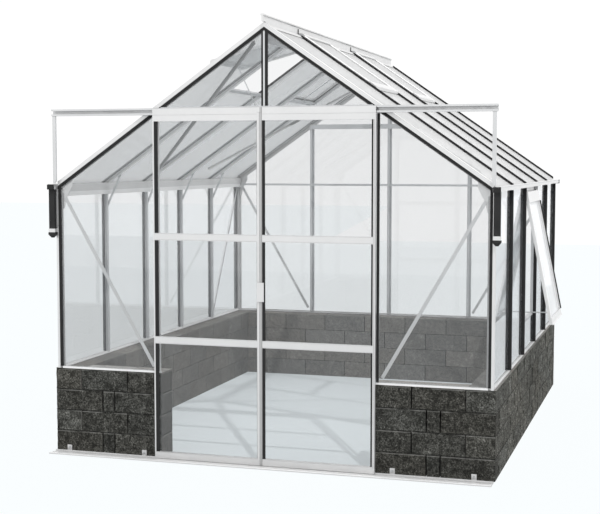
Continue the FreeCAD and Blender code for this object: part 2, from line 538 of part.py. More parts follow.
gl0, gl1 = -1806.0, -1802.0          # door glass
for sg, side in ((-1, "left"), (1, "right")):
    node = "door_%s_frame" % side
    X = lambda v: sg * v
    outer = door_half[0 if sg < 0 else 1]
    # outer stile: a narrow bare edge on the left leaf, a wider grooved one on the right leaf
    if sg < 0:
        edge, ow, flange = 733.0, 710.0, 723.0
        stile = [(X(edge), dy0), (X(outer), dy0)]
    else:
        edge, ow, flange = 719.0, 708.5, 707.0
        stile = [(X(edge), dy0), (X(724), dy0), (X(725), dy0 + 2.0), (X(727), dy0 + 2.0), (X(728), dy0),
                 (X(outer), dy0)]
    put(node, along_z(stile + [(X(outer), dy1), (X(flange), dy1), (X(flange), -1801.5), (X(edge), -1801.5)],
                      bot1, top0))
    # meeting stile: a bare grooved face over the full height on the left leaf, a strip on the right leaf
    if sg < 0:
        face, strip, gedge, inner, back = 32.0, None, 33.0, meet_l, 38.0
        front = along_z([(X(inner), dy0), (X(14), dy0), (X(15), dy0 + 2.5), (X(17), dy0 + 2.5), (X(18), dy0),
                         (X(face), dy0), (X(face), -1801.5), (X(inner), -1801.5)], bot0, stile_top)
        rear = along_z([(X(inner), -1801.5), (X(back), -1801.5), (X(back), dy1), (X(inner), dy1)], bot1, top0)
        put(node, front.fuse(rear).removeSplitter())
        put(node, box(X(inner), X(face), dy0, -1804, stile_top + 1.2, 2280))
        rail_in = face + 0.2
    else:
        face, strip, gedge, inner, back = 1.5, 20.0, 3.0, meet_r, 13.0
        put(node, along_z([(X(inner), dy0), (X(face), dy0), (X(face), -1801.5), (X(back), -1801.5),
                           (X(back), dy1), (X(inner), dy1)], bot1, top0))
        rail_in = inner
    xa, xb = X(rail_in), X(outer)
    # top rail with the plate that hangs in front of the track
    top = [(dy0, top0)]
    for g in (2238.0,):
        top += [(dy0, g - 1.2), (dy0 + 1.0, g - 0.8), (dy0 + 1.0, g + 0.8), (dy0, g + 1.2)]
    top += [(dy0, 2280), (-1804, 2280), (-1804, 2233), (dy1, 2233), (dy1, top0)]
    put(node, along_x(top, xa, xb))
    # bottom rail, slotted underneath for the floor track's rib
    put(node, along_x([(dy0, bot0), (dy0, bot1 - 5.0), (dy0 + 1.0, bot1 - 4.6), (dy0 + 1.0, bot1 - 3.4),
                       (dy0, bot1 - 3.0), (dy0, bot1), (dy1, bot1), (dy1, bot0), (-1790, bot0), (-1790, 32),
                       (-1808, 32), (-1808, bot0)], xa, xb))
    # middle rails: a lipped bar in front of the glass, between the stile faces
    for z0, z1 in rail_rows:
        put(node, along_x(grooved(z0, z1, (z0 + 4.0, z1 - 4.0), gl1 + 0.3),
                          X(face + 0.2), X(edge - 0.2)))
        put(node, box(X(back + 0.2), X(flange - 0.2), -1800.5, dy1 - 8, z0 + 12, z1 - 12))
    # panes
    zs = [bot1] + [z for row in rail_rows for z in row] + [top0]
    panes = [(zs[i] + 0.5, zs[i + 1] - 0.5) for i in (0, 2, 4)]
    for z0, z1 in panes:
        put("door_%s_glass" % side, box(X(gedge), X(edge - 0.5), gl0, gl1, z0, z1))
        put("door_%s_seals" % side, box(X(ow), X(edge - 0.2), dy0 + 0.6, gl0, z0, z1))
        if strip:
            put("door_%s_seals" % side, box(X(face + 0.2), X(strip), dy0 + 0.6, gl0, z0, z1))
    # roller axles on the back of the top plate
    for rx in (120.0, 640.0):
        axle = Part.makeCylinder(axle_r, 26, V(X(rx), -1804, roller_z), V(0, 1, 0))
        collar = Part.makeCylinder(7.0, 8, V(X(rx), -1804, roller_z), V(0, 1, 0))
        put(node, axle.fuse(collar).removeSplitter())
        wheel = Part.makeCylinder(roller_r, 13.5, V(X(rx), -1793.7, roller_z), V(0, 1, 0)).cut(
            Part.makeCylinder(axle_r + running_gap, 13.5, V(X(rx), -1793.7, roller_z), V(0, 1, 0)))
        name = "roller_%s_%s" % (side, "inner" if rx < 300 else "outer")
        put(name, wheel)

# pull handle: outer plate with a lip over the meeting line, and an inner plate
put("door_handle",
    along_z([(-33, -1812), (-33, -1819), (-30, -1822), (11, -1822), (14, -1819), (14, -1813),
             (-2, -1813), (-2, -1812)], 1057, 1179),
    along_z([(-34, dy1), (-8, dy1), (-8, dy1 + 5), (-12, dy1 + 8), (-30, dy1 + 8),
             (-34, dy1 + 5)], 1066, 1170))


# ---------------------------------------------------------------------------
# Roof vents: leaf frame, pane and stay, built shut and then set to rest.
# ---------------------------------------------------------------------------
def turned(shape, point, axis, deg):
    s = shape.copy()
    s.rotate(point, axis, deg)
    return s


piv_s, piv_n = 580.0, 0.0
for sg, side in ((-1, "left"), (1, "right")):
    up = V(0, -sg, 0)                # positive turn lifts the leaf
    ax = sp(sg, hinge_s, hinge_n, 0)
    for (y0, y1), place in zip(vent_bays, ("front", "rear")):
        name = "vent_%s_%s" % (side, place)
        ym = (y0 + y1) / 2
        a, b = y0 + 21.0, y1 - 21.0
        bore = Part.makeCylinder(4.05, b - a + 20, V(ax.x, a - 10, ax.z), V(0, 1, 0))
        rail = across_slope(sg, [(8, 11), (40, 9), (40, 26), (30, 29), (10, 29)], a, b)
        leaf = [rail.cut(bore)]
        for ya, yb in ((y0 + 14.5, y0 + 41), (y1 - 41, y1 - 14.5)):
            leaf.append(along_slope(sg, [(ya, 5), (yb, 5), (yb, 22), (yb - 4, 26), (ya + 4, 26),
                                         (ya, 22)], 40.2, 592))
        leaf.append(across_slope(sg, [(592.2, 6), (650, 6), (656, 5), (660, 6.5), (652, 24),
                                      (648, 26), (592.2, 26)], y0 + 14.5, y1 - 14.5))
        # lugs and pin for the stay, under the lower rail
        lug = [(572, -7), (588, -7), (602, 6), (593, 6), (572, 5)]
        leaf.append(across_slope(sg, lug, ym - 10, ym - 6))
        leaf.append(across_slope(sg, lug, ym + 6, ym + 10))
        pv = sp(sg, piv_s, piv_n, 0)
        leaf.append(Part.makeCylinder(3.0, 12, V(pv.x, ym - 6, pv.z), V(0, 1, 0)))
        pane = across_slope(sg, [(40.2, 12), (592, 12), (592, 16), (40.2, 16)], y0 + 41.2, y1 - 41.2)
        # stay: an eye on the pin and a round rod, lying up the slope when stowed
        eye = Part.makeCylinder(7.0, 9, V(pv.x, ym - 4.5, pv.z), V(0, 1, 0))
        d = V(-sg * ca, 0, sa)
        rod = Part.makeCylinder(stay_r, stay_len - 3, V(pv.x, ym, pv.z) + d * 3, d)
        tip = Part.makeCone(stay_r, 2.0, 6, V(pv.x, ym, pv.z) + d * stay_len, d)
        stay = eye.fuse(rod).fuse(tip).removeSplitter().cut(
            Part.makeCylinder(3.05, 12, V(pv.x, ym - 6, pv.z), V(0, 1, 0)))
        stays = [stay]
        if name == "vent_left_front":
            stays = [turned(s, V(pv.x, ym, pv.z), up, stay_engaged_deg) for s in stays]
            o = V(ax.x, 0, ax.z)
            leaf = [turned(s, o, up, vent_open_deg) for s in leaf]
            pane = turned(pane, o, up, vent_open_deg)
            stays = [turned(s, o, up, vent_open_deg) for s in stays]
        put(name + "_frame", *leaf)
        put(name + "_glass", pane)
        put(name.replace("vent", "vent_stay"), *stays)

# ---------------------------------------------------------------------------
# Side window in the right wall: top hung, standing open.
# ---------------------------------------------------------------------------
wx0, wx1 = 1456.0, 1478.0
wy = 334.0
wz1 = 1730.0
hgx, hgz = window_hinge_x, window_hinge_z
leaf = []
head = along_y([(1458, 1716), (1458, 1729), (1461, 1732), (1476, 1732), (1480, 1728), (1480, 1650),
                (1462, 1650), (1462, 1712)], -wy, wy)
leaf.append(head.cut(Part.makeCylinder(4.05, 2 * wy + 20, V(hgx, -wy - 10, hgz), V(0, 1, 0))))
for sgn in (-1, 1):
    leaf.append(along_z([(wx0, sgn * wy), (wx1 - 4, sgn * wy), (wx1, sgn * (wy - 4)),
                         (wx1, sgn * (wy - 30)), (wx0, sgn * (wy - 30))], 846 - wd, 1649.8))
leaf.append(along_y([(x, z - wd) for x, z in ((wx0, 845.8), (wx1, 845.8), (wx1, 806), (1484, 800), (1482, 797),
                                              (1470, 803), (wx0, 803))], -wy, wy))
pwx, pwz = 1446.0, 856.0 - wd
wlug = [(x, z - wd) for x, z in ((1440, 849), (1452, 841), (1456, 841), (1456, 858), (1452, 864), (1440, 863))]
leaf.append(along_y(wlug, -10, -6))
leaf.append(along_y(wlug, 6, 10))
leaf.append(Part.makeCylinder(3.0, 12, V(pwx, -6, pwz), V(0, 1, 0)))
wpane = box(1465, 1469, -(wy - 30.2), wy - 30.2, 846 - wd, 1649.8)
eye = Part.makeCylinder(7.0, 9, V(pwx, -4.5, pwz), V(0, 1, 0))
rod = Part.makeCylinder(stay_r, window_stay_len - 3, V(pwx, 0, pwz + 3), V(0, 0, 1))
tip = Part.makeCone(stay_r, 2.0, 6, V(pwx, 0, pwz + window_stay_len), V(0, 0, 1))
wstay = eye.fuse(rod).fuse(tip).removeSplitter().cut(
    Part.makeCylinder(3.05, 12, V(pwx, -6, pwz), V(0, 1, 0)))
out = V(0, -1, 0)
wstay = turned(wstay, V(pwx, 0, pwz), out, window_stay_deg)
hp = V(hgx, 0, hgz)
put("window_frame", *[turned(s, hp, out, window_open_deg) for s in leaf])
put("window_glass", turned(wpane, hp, out, window_open_deg))
put("window_stay", turned(wstay, hp, out, window_open_deg))
# hinge rod and its brackets under the gutter
put("vent_hinges", Part.makeCylinder(4.0, 2 * 340.0, V(hgx, -340, hgz), V(0, 1, 0)))
for sgn in (-1, 1):
    put("vent_hinges", along_y([(1453.2, 1735), (1453.2, 1762.5), (1476, 1762.5), (1476, 1716),
                                (1464, 1716), (1461, 1735)], sgn * 340, sgn * 346))

# ---------------------------------------------------------------------------
# Write every node at its place.
# ---------------------------------------------------------------------------
for node, shapes in sorted(parts.items()):
    solids = []
    for s in shapes:
        solids.extend(s.Solids)
    comp = Part.makeCompound(solids)
    comp.translate(V(0, threshold_y, 0))
    bad = [i for i, s in enumerate(comp.Solids) if not s.isValid() or s.Volume <= 0]
    comp.exportStep("parts/%s.step" % node)
    bb = comp.BoundBox
    print("%-26s %3d solids  %9.0f cm3  x %7.1f %7.1f  y %7.1f %7.1f  z %7.1f %7.1f %s" % (
        node, len(comp.Solids), comp.Volume / 1000, bb.XMin, bb.XMax, bb.YMin, bb.YMax,
        bb.ZMin, bb.ZMax, ("BAD %s" % bad) if bad else ""))
print(len(parts), "nodes")
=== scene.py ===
import json
import math

import bpy
import numpy as np
from mathutils import Matrix, Vector

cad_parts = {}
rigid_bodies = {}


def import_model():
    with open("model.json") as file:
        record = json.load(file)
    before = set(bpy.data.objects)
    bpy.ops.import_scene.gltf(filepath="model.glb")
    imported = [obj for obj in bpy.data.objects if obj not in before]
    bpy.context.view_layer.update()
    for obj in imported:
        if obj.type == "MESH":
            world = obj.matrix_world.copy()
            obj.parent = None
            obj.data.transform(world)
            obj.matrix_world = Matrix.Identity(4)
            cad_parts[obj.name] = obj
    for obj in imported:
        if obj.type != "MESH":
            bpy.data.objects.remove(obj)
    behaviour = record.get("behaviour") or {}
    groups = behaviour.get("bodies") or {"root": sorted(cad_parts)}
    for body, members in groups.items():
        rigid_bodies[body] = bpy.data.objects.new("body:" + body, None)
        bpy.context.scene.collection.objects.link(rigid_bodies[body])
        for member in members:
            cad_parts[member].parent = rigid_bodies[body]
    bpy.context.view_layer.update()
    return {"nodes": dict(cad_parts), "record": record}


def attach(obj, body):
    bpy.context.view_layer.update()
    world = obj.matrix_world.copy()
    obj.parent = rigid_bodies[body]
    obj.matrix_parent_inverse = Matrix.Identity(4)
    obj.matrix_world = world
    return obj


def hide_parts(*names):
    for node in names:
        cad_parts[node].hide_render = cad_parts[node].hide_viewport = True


for old in list(bpy.data.objects):
    bpy.data.objects.remove(old, do_unlink=True)

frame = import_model()
scene = bpy.context.scene
coll = scene.collection


# ---------------------------------------------------------------------------
# Seeded value noise, used to break the faces of the blocks.
# ---------------------------------------------------------------------------
def lattice(i, seed):
    h = (i[:, 0].astype(np.uint32) * np.uint32(374761393)
         + i[:, 1].astype(np.uint32) * np.uint32(668265263)
         + i[:, 2].astype(np.uint32) * np.uint32(2246822519)
         + np.uint32((seed * 3266489917) & 0xFFFFFFFF))
    h = (h ^ (h >> np.uint32(15))) * np.uint32(2654435761)
    h = (h ^ (h >> np.uint32(13))) * np.uint32(1274126177)
    h = h ^ (h >> np.uint32(16))
    return h.astype(np.float64) / 4294967295.0


def vnoise(p, seed):
    base = np.floor(p)
    f = p - base
    u = f * f * (3 - 2 * f)
    i = base.astype(np.int64) & 0xFFFFFFFF
    out = np.zeros(len(p))
    for dx in (0, 1):
        for dy in (0, 1):
            for dz in (0, 1):
                w = ((u[:, 0] if dx else 1 - u[:, 0]) * (u[:, 1] if dy else 1 - u[:, 1])
                     * (u[:, 2] if dz else 1 - u[:, 2]))
                out += w * lattice(i + np.array([dx, dy, dz]), seed)
    return out


# ---------------------------------------------------------------------------
# Node material helpers.
# ---------------------------------------------------------------------------
class Tree:
    def __init__(self, name):
        self.mat = bpy.data.materials.new(name)
        self.mat.use_nodes = True
        self.nt = self.mat.node_tree
        self.nt.nodes.clear()
        self.out = self.nt.nodes.new("ShaderNodeOutputMaterial")

    def add(self, kind, **values):
        n = self.nt.nodes.new(kind)
        for k, v in values.items():
            setattr(n, k, v)
        return n

    def link(self, a, b):
        self.nt.links.new(a, b)

    def coords(self, scale=(1, 1, 1)):
        tc = self.add("ShaderNodeTexCoord")
        mp = self.add("ShaderNodeMapping")
        mp.inputs["Scale"].default_value = scale
        self.link(tc.outputs["Object"], mp.inputs["Vector"])
        return mp.outputs["Vector"]

    def noise(self, vec, scale, detail=3.0, rough=0.55, distortion=0.0):
        n = self.add("ShaderNodeTexNoise")
        n.inputs["Scale"].default_value = scale
        n.inputs["Detail"].default_value = detail
        n.inputs["Roughness"].default_value = rough
        n.inputs["Distortion"].default_value = distortion
        self.link(vec, n.inputs["Vector"])
        return n.outputs["Fac"]

    def ramp(self, fac, stops):
        r = self.add("ShaderNodeValToRGB")
        e = r.color_ramp.elements
        while len(e) < len(stops):
            e.new(0.5)
        for el, (pos, col) in zip(e, stops):
            el.position = pos
            el.color = (col[0], col[1], col[2], 1.0) if not isinstance(col, float) else (col, col, col, 1)
        self.link(fac, r.inputs["Fac"])
        return r.outputs["Color"]

    def remap(self, fac, a, b, lo=0.0, hi=1.0):
        m = self.add("ShaderNodeMapRange")
        m.inputs["From Min"].default_value = lo
        m.inputs["From Max"].default_value = hi
        m.inputs["To Min"].default_value = a
        m.inputs["To Max"].default_value = b
        self.link(fac, m.inputs["Value"])
        return m.outputs["Result"]

    def mix(self, fac, a, b, mode="MIX"):
        m = self.add("ShaderNodeMix", data_type="RGBA", blend_type=mode)
        for s, v in ((m.inputs[0], fac), (m.inputs[6], a), (m.inputs[7], b)):
            if isinstance(v, (int, float)):
                s.default_value = v
            elif isinstance(v, tuple):
                s.default_value = (*v, 1.0)
            else:
                self.link(v, s)
        return m.outputs[2]

    def math(self, op, a, b=None):
        """One math node; each input a number or a socket."""
        m = self.add("ShaderNodeMath", operation=op)
        for s, v in ((m.inputs[0], a), (m.inputs[1], b)):
            if v is None:
                continue
            if isinstance(v, (int, float)):
                s.default_value = v
            else:
                self.link(v, s)
        return m.outputs[0]

    def bump(self, height, strength, distance, normal=None):
        b = self.add("ShaderNodeBump")
        b.inputs["Strength"].default_value = strength
        b.inputs["Distance"].default_value = distance
        self.link(height, b.inputs["Height"])
        if normal is not None:
            self.link(normal, b.inputs["Normal"])
        return b.outputs["Normal"]

    def band(self, vec, axis, lo, hi):
        """1 where the coordinate on that axis lies between lo and hi, else 0."""
        sep = self.add("ShaderNodeSeparateXYZ")
        self.link(vec, sep.inputs[0])
        c = sep.outputs[axis]
        return self.math("MULTIPLY", self.math("GREATER_THAN", c, lo), self.math("LESS_THAN", c, hi))

    def hollow(self, reach):
        """Ambient occlusion: 0 in corners and grooves, 1 on open faces; used to paint shade into colour."""
        n = self.add("ShaderNodeAmbientOcclusion", samples=6, only_local=False)
        n.inputs["Distance"].default_value = reach
        return n.outputs["AO"]

    def principled(self, color, rough, metallic=0.0, normal=None, shine=0.5):
        p = self.add("ShaderNodeBsdfPrincipled")
        p.inputs["Specular IOR Level"].default_value = shine
        for name, v in (("Base Color", color), ("Roughness", rough), ("Metallic", metallic)):
            s = p.inputs[name]
            if isinstance(v, (int, float)):
                s.default_value = v
            elif isinstance(v, tuple):
                s.default_value = (*v, 1.0)
            else:
                self.link(v, s)
        if normal is not None:
            self.link(normal, p.inputs["Normal"])
        self.link(p.outputs["BSDF"], self.out.inputs["Surface"])
        return p


def make_aluminium(name, pale, dark, rough_lo=0.34, rough_hi=0.50, crease_shade=0.62, reach=0.008, metal=0.75,
                   bands=()):
    """Extruded aluminium: a thin oxide film, faint drawing marks, painted shade in the grooves and corners."""
    t = Tree(name)
    v = t.coords()
    blotch = t.noise(v, 2.2, 4.0, 0.6)
    grain = t.noise(v, 420.0, 2.0, 0.6)
    film = t.noise(v, 26.0, 4.0, 0.65)
    col = t.ramp(blotch, [(0.25, dark), (0.75, pale)])
    col = t.mix(t.remap(film, 0.0, 0.12), col, tuple(c * 0.8 for c in dark))
    # painted shade: ambient occlusion darkens the colour in grooves and corners
    crease_shade_mask = t.remap(t.hollow(reach), crease_shade, 0.0, 0.25, 0.90)
    col = t.mix(crease_shade_mask, col, tuple(c * 0.28 for c in dark))
    # painted shade: parts of the profile darkened by a factor where they lie in shade (factor, then axis, from, to for
    # each limit)
    for k, *limits in bands:
        m = t.band(v, *limits[0])
        for lim in limits[1:]:
            m = t.math("MULTIPLY", m, t.band(v, *lim))
        col = t.mix(m, col, t.mix(1.0, col, (k, k, k), "MULTIPLY"))
    rough = t.remap(film, rough_lo, rough_hi, 0.3, 0.7)
    nrm = t.bump(grain, 0.10, 0.0006)
    t.principled(col, rough, metal, nrm)
    return t.mat


def make_rubber(name="glazing_rubber", base=0.013, rough=(0.55, 0.78)):
    t = Tree(name)
    v = t.coords()
    dust = t.noise(v, 14.0, 5.0, 0.65)
    grain = t.noise(v, 600.0, 2.0, 0.5)
    col = t.ramp(dust, [(0.30, (base * 0.8, base * 0.8, base * 0.82)),
                        (0.62, (base * 1.25, base * 1.25, base * 1.28)),
                        (0.90, (base * 2.4, base * 2.4, base * 2.35))])
    t.principled(col, t.remap(dust, rough[0], rough[1], 0.3, 0.7), 0.0, t.bump(grain, 0.25, 0.0005), 0.22)
    return t.mat


def make_glass(name, tint=(0.940, 0.942, 0.943), slant=1.35, base=0.040, gain=0.92, power=5.0, veil=None, extra=0.0):
    """Thin float glass: a faint veil of reflection that grows where it is seen at a slant.
    veil, where given, is the pale dust film that takes the place of part of the gloss."""
    t = Tree(name)
    v = t.coords()
    haze = t.noise(v, 1.6, 4.0, 0.6)
    lw = t.add("ShaderNodeLayerWeight")
    lw.inputs["Blend"].default_value = 0.5
    facing = lw.outputs["Facing"]
    lo = tuple(c * 0.990 for c in tint)
    col = t.ramp(haze, [(0.3, lo), (0.7, tint)])
    col = t.mix(facing, col, tuple(c ** slant for c in tint))
    clear = t.add("ShaderNodeBsdfTransparent")
    t.link(col, clear.inputs["Color"])
    gloss = t.add("ShaderNodeBsdfGlossy")
    gloss.inputs["Color"].default_value = (0.97, 0.985, 1.0, 1.0)
    gloss.inputs["Roughness"].default_value = 0.015
    f = t.math("MULTIPLY_ADD", t.math("POWER", facing, power), gain)
    t.nt.nodes[-1].inputs[2].default_value = base
    mixer = t.add("ShaderNodeMixShader")
    t.link(f, mixer.inputs[0])
    t.link(clear.outputs[0], mixer.inputs[1])
    t.link(gloss.outputs[0], mixer.inputs[2])
    last = mixer
    if veil is not None:
        shade, lo_w, hi_w, curve = veil
        film = t.add("ShaderNodeBsdfDiffuse")
        dust = t.ramp(haze, [(0.3, tuple(0.97 * c for c in shade)), (0.7, shade)])
        if extra:
            # on the slope at positive x the dust film is laid on thicker, and darkened there as painted shade
            dust = t.mix(t.band(v, 0, 0.02, 3.0), dust, t.mix(1.0, dust, (0.70, 0.685, 0.68), "MULTIPLY"))
        t.link(dust, film.inputs["Color"])
        w = t.math("MULTIPLY_ADD", t.math("POWER", facing, curve), hi_w)
        t.nt.nodes[-1].inputs[2].default_value = lo_w
        if extra:
            w = t.math("ADD", w, t.math("MULTIPLY", t.band(v, 0, 0.02, 3.0), extra))
        last = t.add("ShaderNodeMixShader")
        t.link(w, last.inputs[0])
        t.link(mixer.outputs[0], last.inputs[1])
        t.link(film.outputs[0], last.inputs[2])
    t.link(last.outputs[0], t.out.inputs["Surface"])
    return t.mat


def make_blocks():
    """Split concrete: dark paste with painted shade in the hollows, paler broken grains on the ridges, dark dry
    joints.
    """
    t = Tree("split_face_block")
    v = t.coords()
    tone = t.add("ShaderNodeVertexColor", layer_name="tone").outputs["Color"]
    sep = t.add("ShaderNodeVertexColor", layer_name="relief")
    rel = t.add("ShaderNodeSeparateColor")
    t.link(sep.outputs["Color"], rel.inputs["Color"])
    relief, arris, inside, joint = rel.outputs[0], rel.outputs[1], rel.outputs[2], sep.outputs["Alpha"]
    mid = t.noise(v, 36.0, 4.0, 0.60)
    coarse = t.noise(v, 92.0, 4.0, 0.74)
    grain = t.noise(v, 205.0, 3.0, 0.66)
    fine = t.noise(v, 165.0, 2.0, 0.55)
    crack = t.noise(v, 30.0, 3.0, 0.6, 1.8)
    high = t.math("ADD", t.math("MULTIPLY", relief, 0.13), t.math("MULTIPLY", mid, 0.13))
    high = t.math("ADD", high, t.math("MULTIPLY", coarse, 0.56))
    high = t.math("ADD", high, t.math("MULTIPLY", grain, 0.30))
    col = t.ramp(high, [(0.455, (0.0098, 0.0098, 0.0086)), (0.535, (0.0255, 0.0253, 0.0222)),
                        (0.605, (0.0560, 0.0557, 0.0500)), (0.740, (0.195, 0.194, 0.178))])
    speck = t.ramp(fine, [(0.615, 0.0), (0.690, 1.0)])
    speck = t.math("MULTIPLY", speck, t.remap(high, 0.0, 0.70, 0.50, 0.66))
    col = t.mix(speck, col, (0.240, 0.238, 0.224))
    fissure = t.ramp(t.math("ABSOLUTE", t.math("SUBTRACT", crack, 0.5)), [(0.0, 1.0), (0.016, 0.0)])
    col = t.mix(t.math("MULTIPLY", fissure, 0.45), col, (0.008, 0.008, 0.0075))
    # sawn inner faces: flatter and finer
    flat = t.ramp(t.noise(v, 46.0, 6.0, 0.72), [(0.35, (0.0385, 0.0368, 0.0350)), (0.65, (0.0495, 0.0474, 0.0450))])
    col = t.mix(t.math("MULTIPLY", inside, 0.74), col, flat)
    # tone: a random tone per block times the painted light and shade of its wall's side
    col = t.mix(1.0, col, tone, "MULTIPLY")
    # painted highlight along the upper arris under each bed joint
    col = t.mix(t.math("MULTIPLY", arris, 0.80), col, (0.300, 0.297, 0.280))
    dark = t.math("MULTIPLY", joint, t.remap(inside, 0.72, 0.0))
    col = t.mix(dark, col, (0.006, 0.006, 0.0058))
    h = t.math("ADD", t.math("MULTIPLY", coarse, 0.9), t.math("MULTIPLY", grain, 0.5))
    h = t.math("SUBTRACT", h, t.math("MULTIPLY", fissure, 0.25))
    h = t.math("MULTIPLY", h, t.remap(inside, 1.0, 0.15))
    nrm = t.bump(h, 1.0, 0.008)
    t.principled(col, 0.93, 0.0, nrm, 0.15)
    return t.mat


def make_steel():
    t = Tree("zinc_steel")
    v = t.coords()
    spangle = t.noise(v, 90.0, 3.0, 0.6)
    col = t.ramp(spangle, [(0.3, (0.48, 0.49, 0.50)), (0.7, (0.68, 0.69, 0.70))])
    t.principled(col, t.remap(spangle, 0.30, 0.46), 1.0, t.bump(spangle, 0.1, 0.0008))
    return t.mat


def make_nylon():
    t = Tree("roller_nylon")
    v = t.coords()
    n = t.noise(v, 160.0, 3.0)
    col = t.ramp(n, [(0.3, (0.70, 0.69, 0.66)), (0.7, (0.80, 0.79, 0.76))])
    t.principled(col, 0.45, 0.0, t.bump(n, 0.15, 0.0006))
    return t.mat


MATS = {
    "aluminium": make_aluminium("satin_aluminium", (0.72, 0.72, 0.72), (0.65, 0.65, 0.65)),
    "rubber": make_rubber(),
    "black_plastic": make_rubber("black_plastic", 0.014, (0.40, 0.55)),
    "glass": make_glass("clear_glass"),
    "concrete": make_blocks(),
    "steel": make_steel(),
    "nylon": make_nylon(),
}
# painted shade: the bars behind the glass get a darker copy of the aluminium
SHADED_ALU = make_aluminium("shaded_aluminium", (0.66, 0.67, 0.68), (0.56, 0.57, 0.58), 0.40, 0.55, 0.35)
TRACK = make_aluminium("track_aluminium", (0.66, 0.665, 0.67), (0.57, 0.575, 0.58), 0.36, 0.50, 0.70)
SPECIAL = {
    # painted shade: the sills' ledges behind the front and rear panes are darkened against the outer lips
    "wall_sills": make_aluminium("sill_aluminium", (0.78, 0.78, 0.78), (0.71, 0.71, 0.71), 0.45, 0.60, 0.45, 0.008,
                                 0.45, bands=((0.55, (1, 0.0625, 0.30), (0, -1.421, 1.421)),
                                              (0.55, (1, 3.30, 3.5775), (0, -1.421, 1.421)))),
    # the meeting stile's rebated half lies in shade
    "door_left_frame": make_aluminium("door_left_aluminium", (0.72, 0.72, 0.72), (0.65, 0.65, 0.65),
                                      bands=((0.66, (0, -0.0145, 0.004)),)),
    # painted light and shade: the eave beam's upper web is darkened, its lower lip made brighter than the other
    # aluminium
    "eave_beams": make_aluminium("eave_aluminium", (0.84, 0.84, 0.84), (0.76, 0.76, 0.76),
                                 bands=((0.78, (2, 1.742, 1.90)),)),
    "window_frame": make_aluminium("window_aluminium", (0.76, 0.76, 0.76), (0.69, 0.69, 0.69)),
    "top_track": TRACK, "track_struts": TRACK,
    # painted shade: the braces stand close behind the panes and are darker than the other aluminium; those under the
    # roof are darkened further
    "wind_braces": make_aluminium("brace_aluminium", (0.62, 0.625, 0.63), (0.57, 0.575, 0.58), 0.45, 0.60, 0.0, 0.008,
                                  0.45, bands=((0.74, (2, 1.80, 3.0)),)),
}
for node in ("side_bars", "gable_bars", "ridge_beam", "knee_braces", "transoms", "stay_forks",
             "vent_sills"):
    SPECIAL[node] = SHADED_ALU
SPECIAL["roof_bars"] = make_aluminium("roof_bar_aluminium", (0.78, 0.785, 0.79), (0.69, 0.695, 0.70), 0.40, 0.55, 0.15)
# side panes are seen almost edge on; the sloping panes carry a film of dust
SIDE_GLASS = make_glass("side_glass", base=0.045, gain=0.95, power=3.6)
WINDOW_GLASS = make_glass("window_glass", power=5.0, veil=((0.88, 0.885, 0.89), 0.0, 0.66, 4.0))
ROOF_GLASS = make_glass("roof_glass", (0.926, 0.931, 0.934), 1.3, 0.020, 0.12, 4.0,
                        veil=((0.80, 0.815, 0.82), 0.03, 0.52, 3.0), extra=0.18)
slot_of = {s["node"]: s["material_slot"] for s in frame["record"]["subparts"]}
for name, ob in frame["nodes"].items():
    m = SPECIAL.get(name, MATS[slot_of[name]])
    if name == "side_glass":
        m = SIDE_GLASS
    elif name == "window_glass":
        m = WINDOW_GLASS
    elif name == "roof_glass" or (name.startswith("vent_") and name.endswith("_glass")):
        m = ROOF_GLASS
    if not ob.material_slots:
        ob.data.materials.append(m)
    for s in ob.material_slots:
        s.material = m


def piece_from(name, verts, faces, mat, body, replaces=None, smooth=False):
    me = bpy.data.meshes.new(name)
    me.from_pydata([tuple(v) for v in verts], [], [tuple(int(i) for i in f) for f in faces])
    me.update()
    me.materials.append(mat)
    if smooth:
        me.polygons.foreach_set("use_smooth", np.ones(len(me.polygons), dtype=bool))
    ob = bpy.data.objects.new(name, me)
    coll.objects.link(ob)
    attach(ob, body)
    if replaces:
        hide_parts(replaces)
    return ob


# ---------------------------------------------------------------------------
# Split-face blocks. Each block is a box of fine quads whose corners are worn
# round and whose vertical faces are broken by noise.
# ---------------------------------------------------------------------------
HX, HY, WT, CH, JAMB = 1.480, 1.770, 0.185, 0.140, 0.712
Y_OFF = 1.820


def block_list():
    """(wall, x0, x1, y0, y1, z0, z1) for each block, in the row's frame."""
    res = []

    def run(a, b, n):
        st = (b - a) / n
        return [(a + i * st + 0.0005, a + (i + 1) * st - 0.0005) for i in range(n)]

    for k in range(4):
        z0 = 0.56 - (k + 1) * CH
        through = k % 2 == 0
        for sg in (-1, 1):
            cuts = [JAMB, 0.957, HX - WT] if through else [JAMB, 1.051, 1.138, HX]
            for a, b in zip(cuts, cuts[1:]):
                xs = sorted((sg * (a + 0.0005), sg * (b - 0.0005)))
                res.append(("wall_front", xs[0], xs[1], -HY, -HY + WT, z0, z0 + CH))
            ya = HY if through else HY - WT
            for a, b in run(-ya, ya, 10 if through else 9):
                xs = sorted((sg * (HX - WT), sg * HX))
                res.append(("wall_left" if sg < 0 else "wall_right", xs[0], xs[1], a, b, z0, z0 + CH))
        xa = HX - WT if through else HX
        for a, b in run(-xa, xa, 7 if through else 8):
            res.append(("wall_rear", a, b, HY - WT, HY, z0, z0 + CH))
    return [(w, x0, x1, y0 + Y_OFF, y1 + Y_OFF, z0, z1) for w, x0, x1, y0, y1, z0, z1 in res]


def lines(a, b, step, r):
    """Grid lines from a to b, closer together at the worn edges."""
    edge = np.array([0.0, 0.3 * r, 0.65 * r, r, 0.0048, 0.0075, 0.0105])
    c = 0.0140
    inner = np.linspace(a + c, b - c, max(2, int(round((b - a - 2 * c) / step)) + 1))
    return np.concatenate([a + edge, inner, (b - edge)[::-1]])


